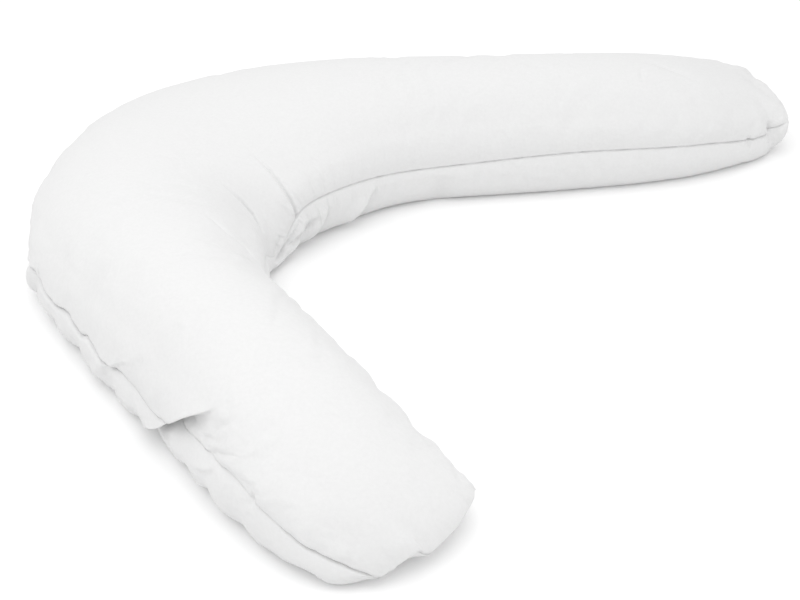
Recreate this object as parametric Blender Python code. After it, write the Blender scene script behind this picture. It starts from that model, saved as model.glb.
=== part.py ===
"""V-shaped body pillow in plain white cotton.

Two matching panels, a top one and a bottom one, are sewn together round one plain edge
seam and filled.  The pillow lies on its bottom panel.  Metres, +Z up, with the origin on
the surface it lies on, under the middle of its box.
"""
import math
from collections import namedtuple

import bmesh
import bpy
import numpy as np

NODE = "body_pillow"

# ---------------------------------------------------------------- driving dimensions
LENGTH = 1.90           # down the middle of the pillow, from end seam to end seam
END_RISE = (0.32, 0.28)         # how far in from each end the top panel reaches its crown
END_BOW = (0.020, 0.014)        # how far each end seam bows out past its corners
END_BOW_REACH = 0.22            # the bow fades out this far from the end
HEEL_REACH = 0.060      # the bottom panel reaches the floor this far in from each end
HEEL_ROUND = (1.0, 0.5)         # how steeply it leaves each end's seam: less is steeper
CONTACT = 0.80          # share of the half width that lies flat on the floor
BELLY = 0.017           # how far the bottom panel swells out past the seam at the sides
END_BELLY = 0.001       # and at the ends
SWELL = 0.004           # how far the top panel swells out past the seam
CROOK_ALONG = 0.80      # where the crook is tightest
CROOK_REACH = (0.20, 0.078)     # how far along its inner seam dips, to the near and far side
CROOK_DIP = 0.045       # how far it dips towards the floor

# One row for each section of the pillow, from the near end to the far end.
# share: place along LENGTH; heading: direction of the middle line, degrees from +X;
# outer, inner: half widths away from and towards the crook; crown: height of the top;
# seam_outer, seam_inner: height of the edge seam on each side.
COLUMNS = ("share", "heading", "outer", "inner", "crown", "seam_outer", "seam_inner")
SECTIONS = (
    (0.00, 134.0, 0.054, 0.083, 0.126, 0.010, 0.044),
    (0.04, 139.0, 0.108, 0.097, 0.138, 0.048, 0.048),
    (0.10, 131.0, 0.120, 0.110, 0.154, 0.080, 0.058),
    (0.20, 126.0, 0.110, 0.114, 0.174, 0.060, 0.084),
    (0.26, 122.0, 0.115, 0.122, 0.176, 0.055, 0.080),
    (0.32, 117.0, 0.122, 0.166, 0.175, 0.054, 0.074),
    (0.42, 74.0, 0.175, 0.188, 0.169, 0.068, 0.072),
    (0.50, 49.0, 0.213, 0.197, 0.162, 0.076, 0.076),
    (0.58, 23.0, 0.175, 0.186, 0.169, 0.070, 0.076),
    (0.68, 4.0, 0.123, 0.129, 0.175, 0.074, 0.063),
    (0.80, 8.0, 0.112, 0.112, 0.174, 0.078, 0.072),
    (0.90, 18.0, 0.119, 0.112, 0.154, 0.084, 0.061),
    (0.96, 20.0, 0.106, 0.093, 0.134, 0.088, 0.044),
    (1.00, 18.0, 0.056, 0.078, 0.122, 0.078, 0.060),
)

# The outer seam isn't straight: it is pulled up and down between its puckers.
# along: metres from the near end; rise: how far the seam is above the sections' own height.
WANDER_COLUMNS = ("along", "rise")
SEAM_WANDER = (
    (0.000, -0.006),
    (0.040, -0.004),
    (0.100, -0.005),
    (0.140, -0.003),
    (0.180, 0.000),
    (0.330, -0.002),
    (0.365, -0.007),
    (0.395, 0.000),
    (0.420, 0.005),
    (0.442, 0.007),
    (0.462, 0.003),
    (0.480, 0.000),
    (0.505, 0.000),
    (0.532, 0.008),
    (0.556, -0.002),
    (0.588, 0.009),
    (0.622, -0.001),
    (0.645, -0.001),
    (0.680, 0.002),
    (0.730, 0.000),
    (1.900, 0.000),
)
# Near its outer corner the near end's seam is pulled up too, beside the small tuck there.
# across: -1 at the inner corner to 1 at the outer one; rise: how far the seam is pulled up.
END_WANDER_COLUMNS = ("across", "rise")
END_WANDER = (
    (-1.00, 0.000),
    (0.00, 0.000),
    (0.10, 0.000),
    (0.18, 0.005),
    (0.27, 0.016),
    (0.34, 0.018),
    (0.50, 0.012),
    (0.64, 0.005),
    (0.80, 0.001),
    (1.00, 0.000),
)
END_WANDER_REACH = 0.022        # how far in from the end that reaches

# The large tuck across the near arm's outer seam: the cloth on its bend side is lapped over
# the cloth on its tip side, which is pushed in under it.
TUCK_ALONG = 0.342      # where it crosses the seam
TUCK_SPREAD = 0.30      # how far along the arm the rows of cloth lean to follow it
TUCK_DEPTH = 0.020      # how far the cloth under it is pushed in
TUCK_REACH = 0.038      # how far along the arm that push reaches
TUCK_LIP = 0.004        # how far the cloth over it stands proud
TUCK_LAP = 0.012        # how far along the cloth under it runs in beneath the lip
TUCK_TURN = 0.015       # how far along the arm the cloth turns under
# around: place round the pillow, as for the folds below; along: where the tuck's edge is;
# fullness: its share of the full depth.
TUCK_COLUMNS = ("around", "along", "fullness")
TUCK = (
    (-0.60, 0.342, 0.0),
    (0.10, 0.285, 0.0),
    (0.58, 0.256, 0.0),
    (0.78, 0.292, 0.9),
    (1.00, 0.336, 1.0),
    (1.22, 0.402, 1.0),
    (1.42, 0.424, 0.8),
    (1.75, 0.430, 0.0),
    (2.60, 0.342, 0.0),
)

# Folds pressed into the cloth.  route: places the fold runs through, each with its metres
# along and its place around the pillow, where 0 is the middle of the top, 1 the outer seam,
# -1 the inner seam, and past 1 the side below the seam, to 2 under the middle and on to 3.
# width: how wide it is to one side; depth: how deep it is pressed, or if less than nothing,
# how high it stands; fade: whether the depth "holds", "dies" out along the route or "swells"
# in its middle; raised: 0 for a trough, 1 or -1 for a small tuck with the cloth on its left
# or right raised over the other side.
Fold = namedtuple("Fold", "route width depth fade raised")
FOLDS = (
    # the edge seam, which draws the cloth in all the way round
    Fold(((0.0, -1.0), (LENGTH, -1.0), (LENGTH, 1.0), (0.0, 1.0), (0.0, -1.0)), 0.005, 0.005, "holds", 0),
    # the dent beside the large tuck
    Fold(((0.270, 0.88), (0.200, 0.72), (0.150, 0.66)), 0.030, 0.005, "dies", 0),
    # two smaller tucks further up the same seam
    Fold(((0.530, 1.36), (0.478, 1.03), (0.443, 0.90)), 0.014, 0.006, "dies", 1),
    Fold(((0.690, 1.30), (0.680, 1.02), (0.650, 0.86)), 0.018, 0.014, "dies", 1),
    # puckers that gather the side of the near arm below the seam
    Fold(((0.645, 1.36), (0.622, 1.04)), 0.014, 0.007, "dies", 0),
    Fold(((0.590, 1.36), (0.556, 1.04)), 0.012, 0.007, "dies", 0),
    Fold(((0.485, 1.36), (0.460, 1.10)), 0.012, 0.008, "dies", 0),
    Fold(((0.422, 1.36), (0.398, 1.08)), 0.013, 0.010, "dies", 0),
    Fold(((0.308, 1.36), (0.284, 1.12)), 0.014, 0.009, "dies", 0),
    Fold(((0.255, 1.36), (0.236, 1.10)), 0.014, 0.010, "dies", 0),
    Fold(((0.190, 1.36), (0.170, 1.10)), 0.016, 0.005, "dies", 0),
    Fold(((0.140, 1.36), (0.125, 1.10)), 0.016, 0.003, "dies", 0),
    Fold(((0.095, 1.36), (0.083, 1.10)), 0.022, 0.006, "dies", 0),
    # the near end: soft dents on top, a tuck in the end seam, notches on the inner edge
    Fold(((0.085, 0.72), (0.050, 0.60), (0.030, 0.52)), 0.022, 0.005, "swells", 0),
    Fold(((-0.005, 0.20), (0.035, 0.27)), 0.014, 0.002, "dies", 1),
    Fold(((0.215, -0.95), (0.185, -0.60), (0.165, -0.40)), 0.016, 0.005, "dies", 0),
    Fold(((0.130, -0.98), (0.115, -0.70), (0.110, -0.50)), 0.016, 0.005, "dies", 0),
    # creases that run up over the crown from the crook
    Fold(((0.903, -1.00), (0.900, -0.66), (0.907, -0.41)), 0.014, 0.007, "dies", 0),
    Fold(((0.705, -0.76), (0.760, -0.65), (0.768, -0.45), (0.800, -0.25)), 0.012, 0.006, "swells", 0),
    Fold(((0.495, -0.73), (0.530, -0.61), (0.588, -0.30)), 0.012, 0.005, "swells", 0),
    # folds under the seam in the crook and along the far arm
    Fold(((0.940, -1.06), (0.900, -1.18), (0.870, -1.36)), 0.012, 0.010, "swells", -1),
    Fold(((1.050, -1.06), (1.000, -1.18), (0.960, -1.36)), 0.014, 0.011, "swells", -1),
    Fold(((1.200, -1.06), (1.150, -1.22), (1.110, -1.36)), 0.014, 0.013, "swells", -1),
    Fold(((1.330, -1.06), (1.310, -1.36)), 0.018, 0.006, "swells", 0),
    # the far end: a long shallow crease, a pucker and a nick across the seam, and the far
    # corner, which stands up with a dent beside it
    Fold(((1.640, 0.10), (1.751, -0.20)), 0.018, 0.003, "swells", 0),
    Fold(((1.868, -1.25), (1.864, -0.95), (1.856, -0.55), (1.842, -0.38)), 0.014, 0.010, "dies", 0),
    Fold(((1.902, 0.66), (1.866, 0.54)), 0.018, -0.004, "swells", 0),
    Fold(((1.905, 0.40), (1.868, 0.32)), 0.014, 0.005, "swells", 0),
    Fold(((1.852, 0.26), (1.868, 0.00), (1.885, -0.32)), 0.018, 0.007, "swells", 0),
    Fold(((1.808, -1.10), (1.806, -0.92)), 0.010, 0.006, "swells", 0),
)

# ---------------------------------------------------------------- shape of the filling
CROWN_POWER = 2.2       # how square the top panel is across
CROWN_ROUND = 0.58      # how steeply it leaves the side seams
END_ROUND = 0.6         # how steeply it leaves the end seams
SWELL_SHARE = 0.5       # share of the crown's rise over which the top panel swells out
BELLY_POWER = 5.0       # how close to the seam the bottom panel swells out
BOW_POWER = 2.5         # how close to the corners the end seams are drawn back

# ---------------------------------------------------------------- mesh
STEPS_ALONG = 137
STEPS_ACROSS = 26
ALONG_CROWDS = (
    (0.0, 0.04, 1.5),
    (TUCK_ALONG, 0.09, 1.2),
    (TUCK_ALONG, 0.008, 5.0),
    (0.55, 0.12, 0.6),
    (0.95, 0.15, 0.3),
    (LENGTH, 0.04, 1.5),
)
ACROSS_CROWDS = ((-0.93, 0.12, 1.5), (0.93, 0.12, 1.5))
COTTON_COLOUR = (0.86, 0.86, 0.86, 1.0)
COTTON_ROUGHNESS = 0.9
LINE_SAMPLES = 400      # points that the middle line and the crowding are worked out at
FOLD_STEP = 0.012       # a fold is measured from points this far apart
AROUND_SCALE = 0.17     # metres of cloth from the middle of a panel to its seam
LAP_PEAK = 0.429        # height of the curve that raises one side of a small tuck
LEVEL_REACH = 0.06      # how far in from the seam a fold moves the bottom panel
LEVEL_POWER = 4.0       # how suddenly that stops
MARK_DIGITS = 6         # a point's place on the pillow is read back this exactly
MERGE = 0.00001         # the rims of the two panels coincide
FLOOR_LEVEL = 0.00005   # cloth lower than this lies on the floor
FLAT_ANGLE = 0.5        # degrees that the faces of the flat base may differ by


def row_values(rows, columns, column, places):
    """Read one column of a table at each place, on a smooth curve through its rows."""
    rows = np.array(rows)
    knots = rows[:, 0]
    values = rows[:, columns.index(column)]
    places = np.clip(places, knots[0], knots[-1])
    gaps = np.diff(knots)
    slopes = np.diff(values) / gaps
    tangents = np.empty(len(rows))
    tangents[1:-1] = (slopes[:-1] * gaps[:-1] + slopes[1:] * gaps[1:]) / (gaps[:-1] + gaps[1:])
    tangents[0] = slopes[0]
    tangents[-1] = slopes[-1]
    row = np.clip(np.searchsorted(knots, places, side="right") - 1, 0, len(rows) - 2)
    gap = gaps[row]
    t = (places - knots[row]) / gap
    start = (2 * t**3 - 3 * t**2 + 1) * values[row] + (t**3 - 2 * t**2 + t) * gap * tangents[row]
    end = (3 * t**2 - 2 * t**3) * values[row + 1] + (t**3 - t**2) * gap * tangents[row + 1]
    return start + end


def section_values(column, share):
    """One column of the sections at each share of the length."""
    return row_values(SECTIONS, COLUMNS, column, share)


def middle_line(share):
    """Plan position (x, y) and heading of the middle line at each share of the length."""
    fine = np.linspace(0.0, 1.0, LINE_SAMPLES)
    heading = np.radians(section_values("heading", fine))
    step = LENGTH / (LINE_SAMPLES - 1)
    x = np.concatenate([[0.0], np.cumsum((np.cos(heading[1:]) + np.cos(heading[:-1])) / 2 * step)])
    y = np.concatenate([[0.0], np.cumsum((np.sin(heading[1:]) + np.sin(heading[:-1])) / 2 * step)])
    return np.interp(share, fine, x), np.interp(share, fine, y), np.interp(share, fine, heading)


def panel_points(along, across, low):
    """Points on the smooth pillow, as rows of x, y, z.

    along is in metres down the middle line, across runs from -1 at the inner seam to +1 at
    the outer one, and low is true on the bottom panel.
    """
    side = np.sin(math.pi / 2 * across)
    reach = np.abs(side)
    from_near = along
    from_far = LENGTH - along
    place = along
    heel = 1.0
    for end, distance, inward in ((0, from_near, 1), (1, from_far, -1)):
        bow = END_BOW[end]
        fade = np.clip(1 - distance / END_BOW_REACH, 0, 1)**2
        heel_share = np.clip(distance / HEEL_REACH, 0, 1)
        end_drop = (1 - (1 - heel_share)**2)**HEEL_ROUND[end]
        end_out = np.where(low, END_BELLY * np.sin(math.pi * end_drop) * (1 - reach**BELLY_POWER), 0)
        place = place + inward * (fade * (bow * reach**BOW_POWER + END_BELLY) - end_out)
        heel = heel * end_drop
    share = place / LENGTH

    width = np.where(side > 0, section_values("outer", share), section_values("inner", share))
    crown = section_values("crown", share)
    outer_part = (1 + side) / 2
    wander = row_values(SEAM_WANDER, WANDER_COLUMNS, "rise", along)
    seam = (section_values("seam_outer", share) + wander) * outer_part
    end_wander = row_values(END_WANDER, END_WANDER_COLUMNS, "rise", across)
    seam = seam + end_wander * np.exp(-(from_near / END_WANDER_REACH)**2)
    crook_reach = np.where(along < CROOK_ALONG, *CROOK_REACH)
    dip = CROOK_DIP * np.exp(-((along - CROOK_ALONG) / crook_reach)**2)
    seam = seam + (section_values("seam_inner", share) - dip) * (1 - outer_part)

    # top panel: crowned across, and rising from both end seams
    rise = (1 - reach**CROWN_POWER)**CROWN_ROUND
    for distance, length in ((from_near, END_RISE[0]), (from_far, END_RISE[1])):
        rise = rise * (1 - (1 - np.clip(distance / length, 0, 1))**2)**END_ROUND
    top_height = seam + (crown - seam) * rise
    top_out = SWELL * np.sin(math.pi * np.clip(rise / SWELL_SHARE, 0, 1))

    # bottom panel: flat on the floor, turning up to the seam at its sides and ends
    turn = np.clip((reach - CONTACT) / (1 - CONTACT), 0, 1)
    drop = heel * np.sqrt(1 - turn**2)
    low_height = seam * (1 - drop)
    low_out = BELLY * np.sin(math.pi / 2 * drop) * reach**BELLY_POWER

    x, y, heading = middle_line(share)
    out = side * width + np.sign(side) * np.where(low, low_out, top_out)
    height = np.where(low, low_height, top_height)
    return np.stack([x - out * np.sin(heading), y + out * np.cos(heading), height], axis=-1)


def crowded(steps, start, end, crowds):
    """Places from start to end, closer together round each crowd (place, reach, extra)."""
    fine = np.linspace(start, end, LINE_SAMPLES)
    density = np.ones(LINE_SAMPLES)
    for place, reach, extra in crowds:
        density += extra * np.exp(-((fine - place) / reach)**2)
    travel = np.concatenate([[0.0], np.cumsum((density[1:] + density[:-1]) / 2)])
    return np.interp(np.linspace(0.0, travel[-1], steps + 1), travel, fine)


def on_pillow(along, around):
    """Points on the smooth pillow at places given in metres along and place around."""
    low = np.abs(around) > 1
    across = np.where(low, np.sign(around) * (2 - np.abs(around)), around)
    return panel_points(along, across, low)


def tuck_rows(along, around):
    """Where the large tuck takes the rows of cloth.

    Returns where each point lies along the arm once its row leans to follow the tuck, where
    it lies once the cloth is lapped as well, and how far the tuck then lifts it.
    """
    past = along - TUCK_ALONG
    fullness = np.maximum(row_values(TUCK, TUCK_COLUMNS, "fullness", around), 0)
    edge = row_values(TUCK, TUCK_COLUMNS, "along", around)
    lean = (edge - TUCK_ALONG) * np.clip(1 - (past / TUCK_SPREAD)**2, 0, 1)**2
    off_floor = np.clip((np.sin(math.pi / 2 * (2 - around)) - CONTACT) / (1 - CONTACT), 0, 1)
    turn = np.exp(-np.abs(past) / TUCK_TURN) * fullness * np.where(around > 1, off_floor, 1)
    lap = np.where(past < 0, TUCK_LAP, -TUCK_LAP / 2) * turn
    lift = np.where(past < 0, -TUCK_DEPTH, TUCK_LIP) * np.exp(-np.abs(past) / TUCK_REACH) * fullness
    return along + lean, along + lean + lap, lift


def fold_line(route):
    """A fold's route over the smooth pillow, as points and their share of the route."""
    route = np.array(route)
    steps = np.diff(route, axis=0) * np.array([1.0, AROUND_SCALE])
    knots = np.concatenate([[0.0], np.cumsum(np.hypot(steps[:, 0], steps[:, 1]))])
    samples = math.ceil(knots[-1] / FOLD_STEP) + 1
    knots /= knots[-1]
    share = np.linspace(0.0, 1.0, samples)
    along = np.interp(share, knots, route[:, 0])
    around = np.interp(share, knots, route[:, 1])
    return on_pillow(along, around), share


def fold_lift(points, normals):
    """How far each point is moved along its normal by the folds."""
    lift = np.zeros(len(points))
    for fold in FOLDS:
        line, line_share = fold_line(fold.route)
        nearest = np.full(len(points), np.inf)
        share = np.zeros(len(points))
        side = np.zeros(len(points))
        for step in range(len(line) - 1):
            run = line[step + 1] - line[step]
            t = np.clip((points - line[step]) @ run / (run @ run), 0, 1)
            away = points - line[step] - t[:, None] * run
            distance = np.linalg.norm(away, axis=1)
            closer = distance < nearest
            nearest[closer] = distance[closer]
            share[closer] = (line_share[step] + t * (line_share[step + 1] - line_share[step]))[closer]
            side[closer] = np.sign(np.einsum("ij,ij->i", np.cross(normals, run), away))[closer]
        depth = np.full(len(points), fold.depth)
        if fold.fade == "dies":
            depth = depth * (1 - share**2)
        if fold.fade == "swells":
            depth = depth * np.sin(math.pi * share)
        widths = nearest / fold.width
        if fold.raised:
            lift += depth / 2 * side * fold.raised * widths * np.exp(-widths**2) / LAP_PEAK
        else:
            lift -= depth * np.exp(-widths**2)
    return lift


def push_directions(points, normals, rim, low):
    """The way a fold moves each point: level at and under the seam, so the base stays flat."""
    level = normals * np.array([1.0, 1.0, 0.0])
    rim_level = level[rim] / np.linalg.norm(level[rim], axis=1)[:, None]
    push = normals * (normals[:, 2] > 0)[:, None] + level * (normals[:, 2] <= 0)[:, None]
    for index in np.flatnonzero(low | rim):
        distances = np.linalg.norm(points[rim, :2] - points[index, :2], axis=1)
        nearest = distances.argmin()
        push[index] = rim_level[nearest] * np.exp(-(distances[nearest] / LEVEL_REACH)**LEVEL_POWER)
    return push


def make_panel(mesh, low):
    """Add one panel: a flat grid of cloth, each point marked with its place on the pillow."""
    grid = bmesh.ops.create_grid(mesh, x_segments=STEPS_ALONG, y_segments=STEPS_ACROSS, size=1.0)
    along_places = crowded(STEPS_ALONG, 0.0, LENGTH, ALONG_CROWDS)
    across_places = crowded(STEPS_ACROSS, -1.0, 1.0, ACROSS_CROWDS)
    along_mark = mesh.verts.layers.float["along"]
    around_mark = mesh.verts.layers.float["around"]
    for vert in grid["verts"]:
        across = across_places[round((vert.co.y + 1) / 2 * STEPS_ACROSS)]
        vert[along_mark] = along_places[round((vert.co.x + 1) / 2 * STEPS_ALONG)]
        vert[around_mark] = 2 - across if low else across


def read_marks(mesh):
    """Each point's place on the pillow, as metres along and place around."""
    along_mark = mesh.verts.layers.float["along"]
    around_mark = mesh.verts.layers.float["around"]
    places = np.array([(vert[along_mark], vert[around_mark]) for vert in mesh.verts])
    return places[:, 0].round(MARK_DIGITS), places[:, 1].round(MARK_DIGITS)


def make_pillow():
    """Sew the two panels together, press in the folds and lay the pillow flat."""
    mesh = bmesh.new()
    mesh.verts.layers.float.new("along")
    mesh.verts.layers.float.new("around")
    make_panel(mesh, low=False)
    make_panel(mesh, low=True)
    along, around = read_marks(mesh)
    leaned, lapped, lift = tuck_rows(along, around)
    for vert, point in zip(mesh.verts, on_pillow(leaned, around)):
        vert.co = point
    bmesh.ops.remove_doubles(mesh, verts=mesh.verts, dist=MERGE)
    bmesh.ops.recalc_face_normals(mesh, faces=mesh.faces)
    if mesh.calc_volume(signed=True) < 0:
        bmesh.ops.reverse_faces(mesh, faces=mesh.faces)
    mesh.normal_update()

    along, around = read_marks(mesh)
    leaned, lapped, lift = tuck_rows(along, around)
    smooth = np.array([vert.co[:] for vert in mesh.verts])
    normals = np.array([vert.normal[:] for vert in mesh.verts])
    side_rim = np.abs(np.abs(around - 1) % 2) < MERGE
    end_rim = np.minimum(along, LENGTH - along) < MERGE
    push = push_directions(smooth, normals, side_rim | end_rim, around > 1)
    lift += fold_lift(smooth, normals)
    points = on_pillow(lapped, around) + push * lift[:, None]
    points[:, :2] -= (points[:, :2].max(axis=0) + points[:, :2].min(axis=0)) / 2
    points[points[:, 2] < FLOOR_LEVEL, 2] = 0.0
    for vert, point in zip(mesh.verts, points):
        vert.co = point

    # the part that lies on the floor is one flat face
    base_edges = [edge for edge in mesh.edges if all(vert.co.z == 0.0 for vert in edge.verts)]
    base_verts = [vert for vert in mesh.verts if vert.co.z == 0.0]
    bmesh.ops.dissolve_limit(mesh, angle_limit=math.radians(FLAT_ANGLE), verts=base_verts, edges=base_edges)
    return mesh


def white_cotton():
    """Plain white cotton, matt."""
    material = bpy.data.materials.new("white_cotton")
    material.use_nodes = True
    shader = material.node_tree.nodes["Principled BSDF"]
    shader.inputs["Base Color"].default_value = COTTON_COLOUR
    shader.inputs["Roughness"].default_value = COTTON_ROUGHNESS
    shader.inputs["Metallic"].default_value = 0.0
    return material


for old in list(bpy.data.objects):
    bpy.data.objects.remove(old, do_unlink=True)

pillow_mesh = make_pillow()
pillow_data = bpy.data.meshes.new(NODE)
pillow_mesh.to_mesh(pillow_data)
pillow_mesh.free()
pillow_data.shade_smooth()
pillow_data.materials.append(white_cotton())

pillow = bpy.data.objects.new(NODE, pillow_data)
collection = bpy.data.collections.new(NODE)
bpy.context.scene.collection.children.link(collection)
collection.objects.link(pillow)
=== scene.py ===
import math
from collections import namedtuple

import bmesh
import bpy
import numpy as np
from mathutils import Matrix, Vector, kdtree


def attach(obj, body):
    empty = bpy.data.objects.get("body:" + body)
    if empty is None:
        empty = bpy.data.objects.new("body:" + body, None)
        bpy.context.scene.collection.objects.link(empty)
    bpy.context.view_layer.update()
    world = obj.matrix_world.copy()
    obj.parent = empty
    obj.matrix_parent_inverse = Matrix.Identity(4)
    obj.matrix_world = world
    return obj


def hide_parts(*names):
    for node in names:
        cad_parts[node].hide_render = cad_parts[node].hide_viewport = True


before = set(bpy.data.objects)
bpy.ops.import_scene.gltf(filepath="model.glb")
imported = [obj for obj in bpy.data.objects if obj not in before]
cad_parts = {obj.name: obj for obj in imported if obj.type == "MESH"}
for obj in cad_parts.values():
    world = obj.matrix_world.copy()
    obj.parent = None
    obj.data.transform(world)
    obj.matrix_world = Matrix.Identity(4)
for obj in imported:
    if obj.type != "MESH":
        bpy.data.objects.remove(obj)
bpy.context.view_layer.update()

# ==================================================================== the camera
# It looks down on the pillow from the front, where a person stands who is about to pick it
# up: from the side that the near arm points to, a little over two metres away.
CAMERA_TARGET = Vector((-0.0467, -0.0131, 0.0))     # on the floor
CAMERA_TILT = math.radians(34.0)                    # how far down it looks
CAMERA_DISTANCE = 2.115
CAMERA_LENS = 68.06                                 # mm
CAMERA_SENSOR = 36.0                                # mm wide

camera_data = bpy.data.cameras.new("camera")
camera_data.lens = CAMERA_LENS
camera_data.sensor_width = CAMERA_SENSOR
camera = bpy.data.objects.new("camera", camera_data)
bpy.context.scene.collection.objects.link(camera)
camera_aim = Vector((0.0, math.cos(CAMERA_TILT), -math.sin(CAMERA_TILT)))
camera.location = CAMERA_TARGET - camera_aim * CAMERA_DISTANCE
camera.rotation_euler = (math.pi / 2 - CAMERA_TILT, 0.0, 0.0)
bpy.context.scene.camera = camera

# ==================================================================== the filled pillow
# A V-shaped body pillow: two matching panels of white cotton, sewn together round their
# edge and filled with loose fibre.  It lies on its bottom panel, which is flat there.
LENGTH = 1.90                   # down the middle, from end seam to end seam
BOX_MIDDLE = (0.0059, 0.5410)   # where the middle of its box is from the near end's middle
END_RISE = (0.32, 0.28)         # how far in from each end the top panel reaches its crown
END_BOW = (0.020, 0.014)        # how far each end seam bows out past its corners
END_BOW_REACH = 0.22            # the bow fades out this far from the end
HEEL_REACH = 0.060              # the bottom panel reaches the floor this far in
HEEL_ROUND = (1.0, 0.5)         # how steeply it leaves each end's seam: less is steeper
CONTACT = 0.80                  # share of the half width that lies flat on the floor
BELLY = 0.017                   # how far the bottom panel swells out past the side seams
END_BELLY = 0.001               # how far it swells out past the end seams
SWELL = 0.004                   # how far the top panel swells out past the seam
CROOK_ALONG = 0.80              # where the crook is tightest
CROOK_REACH = (0.20, 0.078)     # how far along its inner seam dips, to the near and far side
CROOK_DIP = 0.045               # how far it dips towards the floor
CROWN_POWER = 2.2               # how square the top panel is across
CROWN_ROUND = 0.58              # how steeply it leaves the side seams
END_ROUND = 0.6                 # how steeply it leaves the end seams
SWELL_SHARE = 0.5               # share of the crown's rise over which the top panel swells
BELLY_POWER = 5.0               # how close to the seam the bottom panel swells out
BOW_POWER = 2.5                 # how close to the corners the end seams are drawn back
LINE_SAMPLES = 400              # points that the middle line is worked out at

# One row for each section, from the near end to the far end.
# share: place along the length; heading: direction of the middle line, degrees from +X;
# outer, inner: half widths away from and towards the crook; crown: height of the top;
# seam_outer, seam_inner: height of the edge seam on each side.
SECTION_COLUMNS = ("share", "heading", "outer", "inner", "crown", "seam_outer", "seam_inner")
SECTIONS = (
    (0.00, 134.0, 0.054, 0.083, 0.126, 0.010, 0.044),
    (0.04, 139.0, 0.108, 0.097, 0.138, 0.048, 0.048),
    (0.10, 131.0, 0.120, 0.110, 0.154, 0.080, 0.058),
    (0.20, 126.0, 0.110, 0.114, 0.174, 0.060, 0.084),
    (0.26, 122.0, 0.115, 0.122, 0.176, 0.055, 0.080),
    (0.32, 117.0, 0.122, 0.166, 0.175, 0.054, 0.074),
    (0.42, 74.0, 0.175, 0.188, 0.169, 0.068, 0.072),
    (0.50, 49.0, 0.213, 0.197, 0.162, 0.076, 0.076),
    (0.58, 23.0, 0.175, 0.186, 0.169, 0.070, 0.076),
    (0.68, 4.0, 0.123, 0.129, 0.175, 0.074, 0.063),
    (0.80, 8.0, 0.112, 0.112, 0.174, 0.078, 0.072),
    (0.90, 18.0, 0.119, 0.112, 0.154, 0.084, 0.061),
    (0.96, 20.0, 0.106, 0.093, 0.134, 0.088, 0.044),
    (1.00, 18.0, 0.056, 0.078, 0.122, 0.078, 0.060),
)

# The outer seam isn't straight: it is pulled up and down between its puckers.
# along: metres from the near end; rise: how far the seam is above the sections' own height.
WANDER_COLUMNS = ("along", "rise")
SEAM_WANDER = (
    (0.000, -0.006),
    (0.040, -0.004),
    (0.100, -0.005),
    (0.140, -0.003),
    (0.180, 0.000),
    (0.330, -0.002),
    (0.365, -0.007),
    (0.395, 0.000),
    (0.420, 0.005),
    (0.442, 0.007),
    (0.462, 0.003),
    (0.480, 0.000),
    (0.505, 0.000),
    (0.532, 0.008),
    (0.556, -0.002),
    (0.588, 0.009),
    (0.622, -0.001),
    (0.645, -0.001),
    (0.680, 0.002),
    (0.730, 0.000),
    (1.900, 0.000),
)
# Near its outer corner the near end's seam is pulled up too, beside the small tuck there.
# across: -1 at the inner corner to 1 at the outer one; rise: how far the seam is pulled up.
END_WANDER_COLUMNS = ("across", "rise")
END_WANDER = (
    (-1.00, 0.000),
    (0.00, 0.000),
    (0.10, 0.000),
    (0.18, 0.005),
    (0.27, 0.016),
    (0.34, 0.018),
    (0.50, 0.012),
    (0.64, 0.005),
    (0.80, 0.001),
    (1.00, 0.000),
)
END_WANDER_REACH = 0.022        # how far in from the end that reaches


def read_rows(rows, columns, column, places):
    """One column of a table at each place, on a smooth curve through its rows."""
    rows = np.array(rows)
    knots = rows[:, 0]
    values = rows[:, columns.index(column)]
    places = np.clip(places, knots[0], knots[-1])
    gaps = np.diff(knots)
    slopes = np.diff(values) / gaps
    tangents = np.empty(len(rows))
    tangents[1:-1] = (slopes[:-1] * gaps[:-1] + slopes[1:] * gaps[1:]) / (gaps[:-1] + gaps[1:])
    tangents[0] = slopes[0]
    tangents[-1] = slopes[-1]
    row = np.clip(np.searchsorted(knots, places, side="right") - 1, 0, len(rows) - 2)
    gap = gaps[row]
    t = (places - knots[row]) / gap
    start = (2 * t**3 - 3 * t**2 + 1) * values[row] + (t**3 - 2 * t**2 + t) * gap * tangents[row]
    end = (3 * t**2 - 2 * t**3) * values[row + 1] + (t**3 - t**2) * gap * tangents[row + 1]
    return start + end


def middle_line(share):
    """Plan position x and y, and heading, of the middle line at each share of the length."""
    fine = np.linspace(0.0, 1.0, LINE_SAMPLES)
    heading = np.radians(read_rows(SECTIONS, SECTION_COLUMNS, "heading", fine))
    step = LENGTH / (LINE_SAMPLES - 1)
    line = []
    for turned, middle in zip((np.cos(heading), np.sin(heading)), BOX_MIDDLE):
        travel = np.cumsum((turned[1:] + turned[:-1]) / 2 * step)
        line.append(np.concatenate([[0.0], travel]) - middle)
    return [np.interp(share, fine, values) for values in (*line, heading)]


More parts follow.
